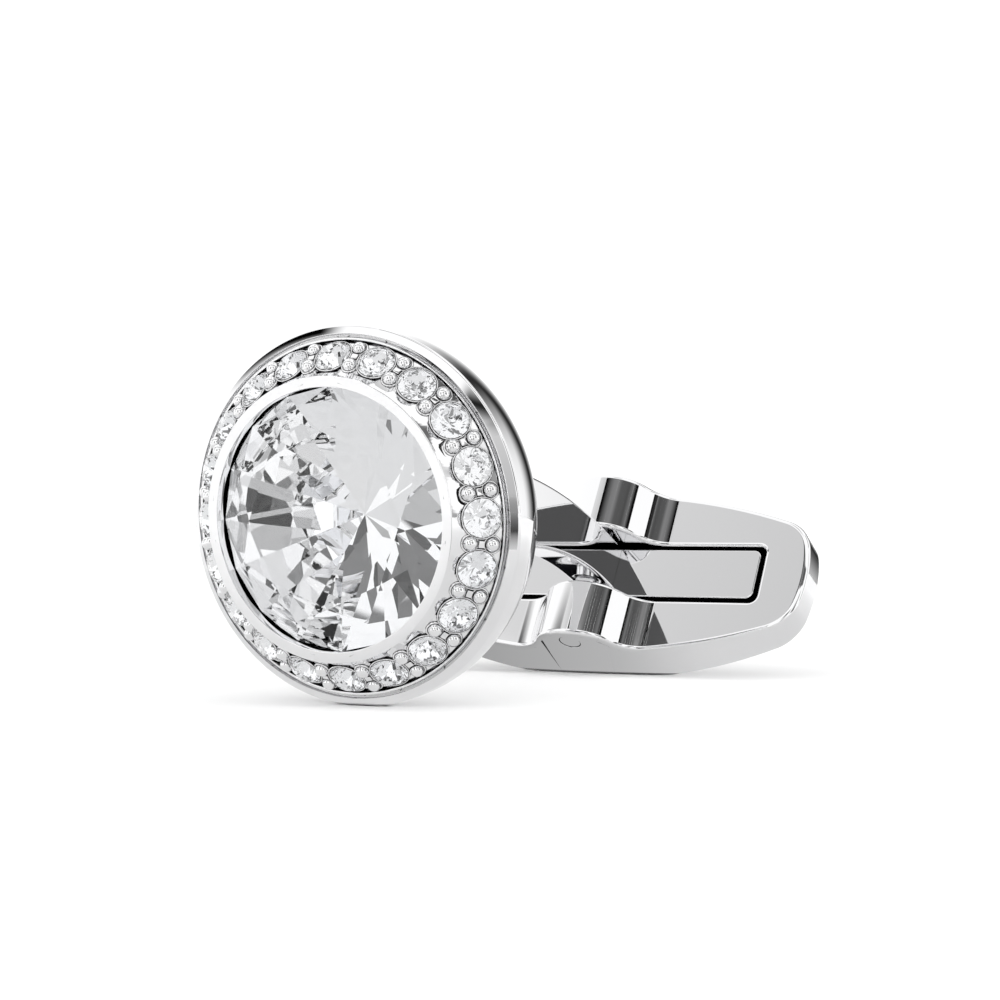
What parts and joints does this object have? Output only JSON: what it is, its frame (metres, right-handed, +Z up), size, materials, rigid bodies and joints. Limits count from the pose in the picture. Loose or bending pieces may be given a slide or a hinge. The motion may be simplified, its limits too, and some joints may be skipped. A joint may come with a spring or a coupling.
{
  "type": "cufflink",
  "caption": "Round cufflink with a large faceted stone in a bezel, a halo of small bead-set stones, a curved flat post and a whale-back toggle on a hinge.",
  "frame": {"origin": "bottom centre of the part's box as it rests on its rim and the toggle's lower edge", "axes": "+Z up, the head faces -Y and the toggle is longest along X"},
  "size_m": [0.021, 0.0288, 0.015],
  "materials": {
    "head_metal": "polished",
    "toggle_metal": "polished",
    "spring_metal": "polished",
    "pin_metal": "polished",
    "centre_crystal": "polished",
    "halo_crystal": "polished"
  },
  "bodies": {
    "head": {"setting": "head_metal", "centre_stone": "centre_crystal", "halo_stone_01": "halo_crystal", "halo_stone_02": "halo_crystal", "halo_stone_03": "halo_crystal", "halo_stone_04": "halo_crystal", "halo_stone_05": "halo_crystal", "halo_stone_06": "halo_crystal", "halo_stone_07": "halo_crystal", "halo_stone_08": "halo_crystal", "halo_stone_09": "halo_crystal", "halo_stone_10": "halo_crystal", "halo_stone_11": "halo_crystal", "halo_stone_12": "halo_crystal", "halo_stone_13": "halo_crystal", "halo_stone_14": "halo_crystal", "halo_stone_15": "halo_crystal", "halo_stone_16": "halo_crystal", "halo_stone_17": "halo_crystal", "halo_stone_18": "halo_crystal", "halo_stone_19": "halo_crystal", "halo_stone_20": "halo_crystal"},
    "toggle_bar": {"toggle": "toggle_metal", "spring_strip": "spring_metal", "hinge_pin": "pin_metal"}
  },
  "joints": [
    {"name": "toggle_hinge", "type": "hinge", "parent": "head", "child": "toggle_bar", "pos_m": [0, 0.00931, 0.00537], "axis": [0, 0.5187, 0.8549], "range_deg": [-90, 90]}
  ]
}
